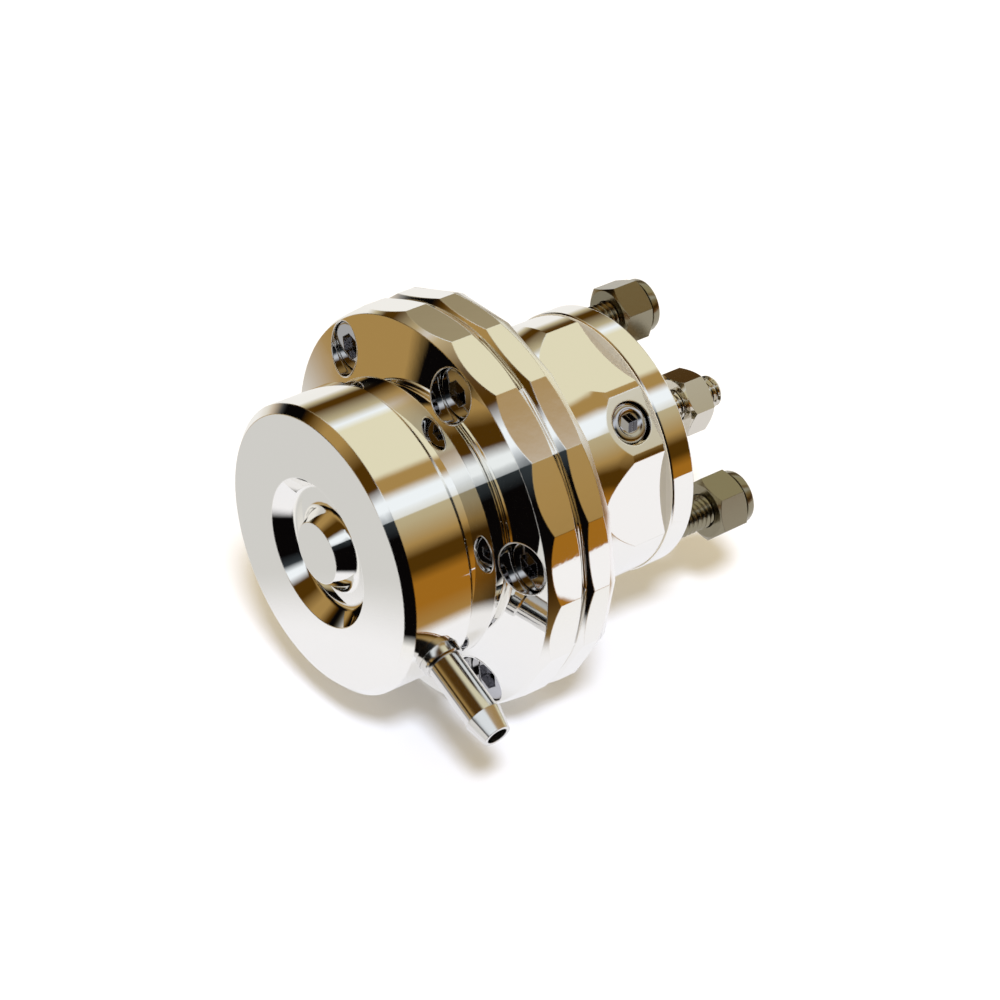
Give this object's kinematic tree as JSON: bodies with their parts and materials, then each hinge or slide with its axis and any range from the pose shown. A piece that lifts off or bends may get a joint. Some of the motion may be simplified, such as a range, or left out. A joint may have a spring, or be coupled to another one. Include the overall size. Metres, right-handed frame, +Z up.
{
  "type": "wastegate actuator",
  "caption": "Round two-part diaphragm actuator in polished aluminium, with a hose barb on its cap, a sprung rod and two mounting studs.",
  "frame": {"origin": "on the rod's axis, at the mounting face of the base plate, which is the centre of the two-stud pattern", "axes": "+X along the rod, out of the mounting face; +Z up with the actuator lying on one side of its flanges; the first base screw is 40 degrees above -Y"},
  "size_m": [0.0838, 0.0732, 0.068],
  "materials": {
    "polished_aluminium": "machined and mirror polished",
    "barb_aluminium": "turned and lightly polished",
    "turned_aluminium": "turned",
    "rubber": "moulded",
    "bronze": "sintered and reamed",
    "spring_steel": "drawn wire",
    "screw_steel": "bright plated",
    "stud_steel": "plain stainless",
    "rod_steel": "bright stainless",
    "nylon": "moulded"
  },
  "bodies": {
    "housing": {"top_cap": "polished_aluminium", "hose_barb": "barb_aluminium", "cap_seal": "rubber", "upper_housing": "polished_aluminium", "lower_housing": "polished_aluminium", "base_plate": "polished_aluminium", "rod_bush": "bronze", "rod_seal": "rubber", "diaphragm": "rubber", "spring_seat": "spring_steel", "main_spring": "spring_steel", "inner_spring": "spring_steel", "flange_screw_1": "screw_steel", "flange_screw_2": "screw_steel", "flange_screw_3": "screw_steel", "flange_screw_4": "screw_steel", "flange_screw_5": "screw_steel", "flange_screw_6": "screw_steel", "base_screw_1": "screw_steel", "base_screw_2": "screw_steel", "mount_stud_1": "stud_steel", "stud_nut_1": "stud_steel", "nut_insert_1": "nylon", "mount_stud_2": "stud_steel", "stud_nut_2": "stud_steel", "nut_insert_2": "nylon"},
    "rod": {"actuator_rod": "rod_steel", "piston": "turned_aluminium", "diaphragm_plate": "turned_aluminium", "rod_inner_nut": "rod_steel", "rod_lock_nut": "rod_steel"}
  },
  "joints": [
    {"name": "rod_slide", "type": "slide", "parent": "housing", "child": "rod", "axis": [1, 0, 0], "range_m": [0, 0.01], "stiffness_N_per_m": 4000, "springref_m": -0.008, "deforming": ["main_spring", "inner_spring", "diaphragm"]}
  ]
}
